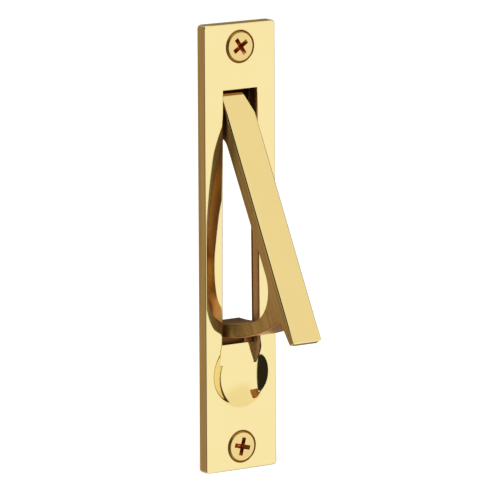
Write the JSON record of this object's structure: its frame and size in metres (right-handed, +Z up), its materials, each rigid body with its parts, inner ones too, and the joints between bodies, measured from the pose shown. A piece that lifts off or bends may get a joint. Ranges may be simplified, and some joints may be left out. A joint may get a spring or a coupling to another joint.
{
  "type": "pocket door pull",
  "caption": "Polished brass edge pull for a pocket door: narrow screw-on faceplate with a slot, a hinged loop lever that swings out of it, and a fingertip dish under the lever's lip.",
  "frame": {"origin": "centre of the faceplate's back face, where it meets the door's edge", "axes": "+Y into the door, +Z up along the plate, +X to the right as seen from the front"},
  "size_m": [0.019, 0.0423, 0.1016],
  "materials": {
    "polished_brass": "polished",
    "pin_brass": "turned",
    "screw_brass": "polished"
  },
  "bodies": {
    "plate": {"faceplate": "polished_brass", "pivot_pin": "pin_brass", "mounting_screws": "screw_brass"},
    "lever": {"lever": "polished_brass"}
  },
  "joints": [
    {"name": "lever_hinge", "type": "hinge", "parent": "plate", "child": "lever", "pos_m": [0, 0.00195, 0.03005], "axis": [1, 0, 0], "range_deg": [0, 28.25]}
  ]
}
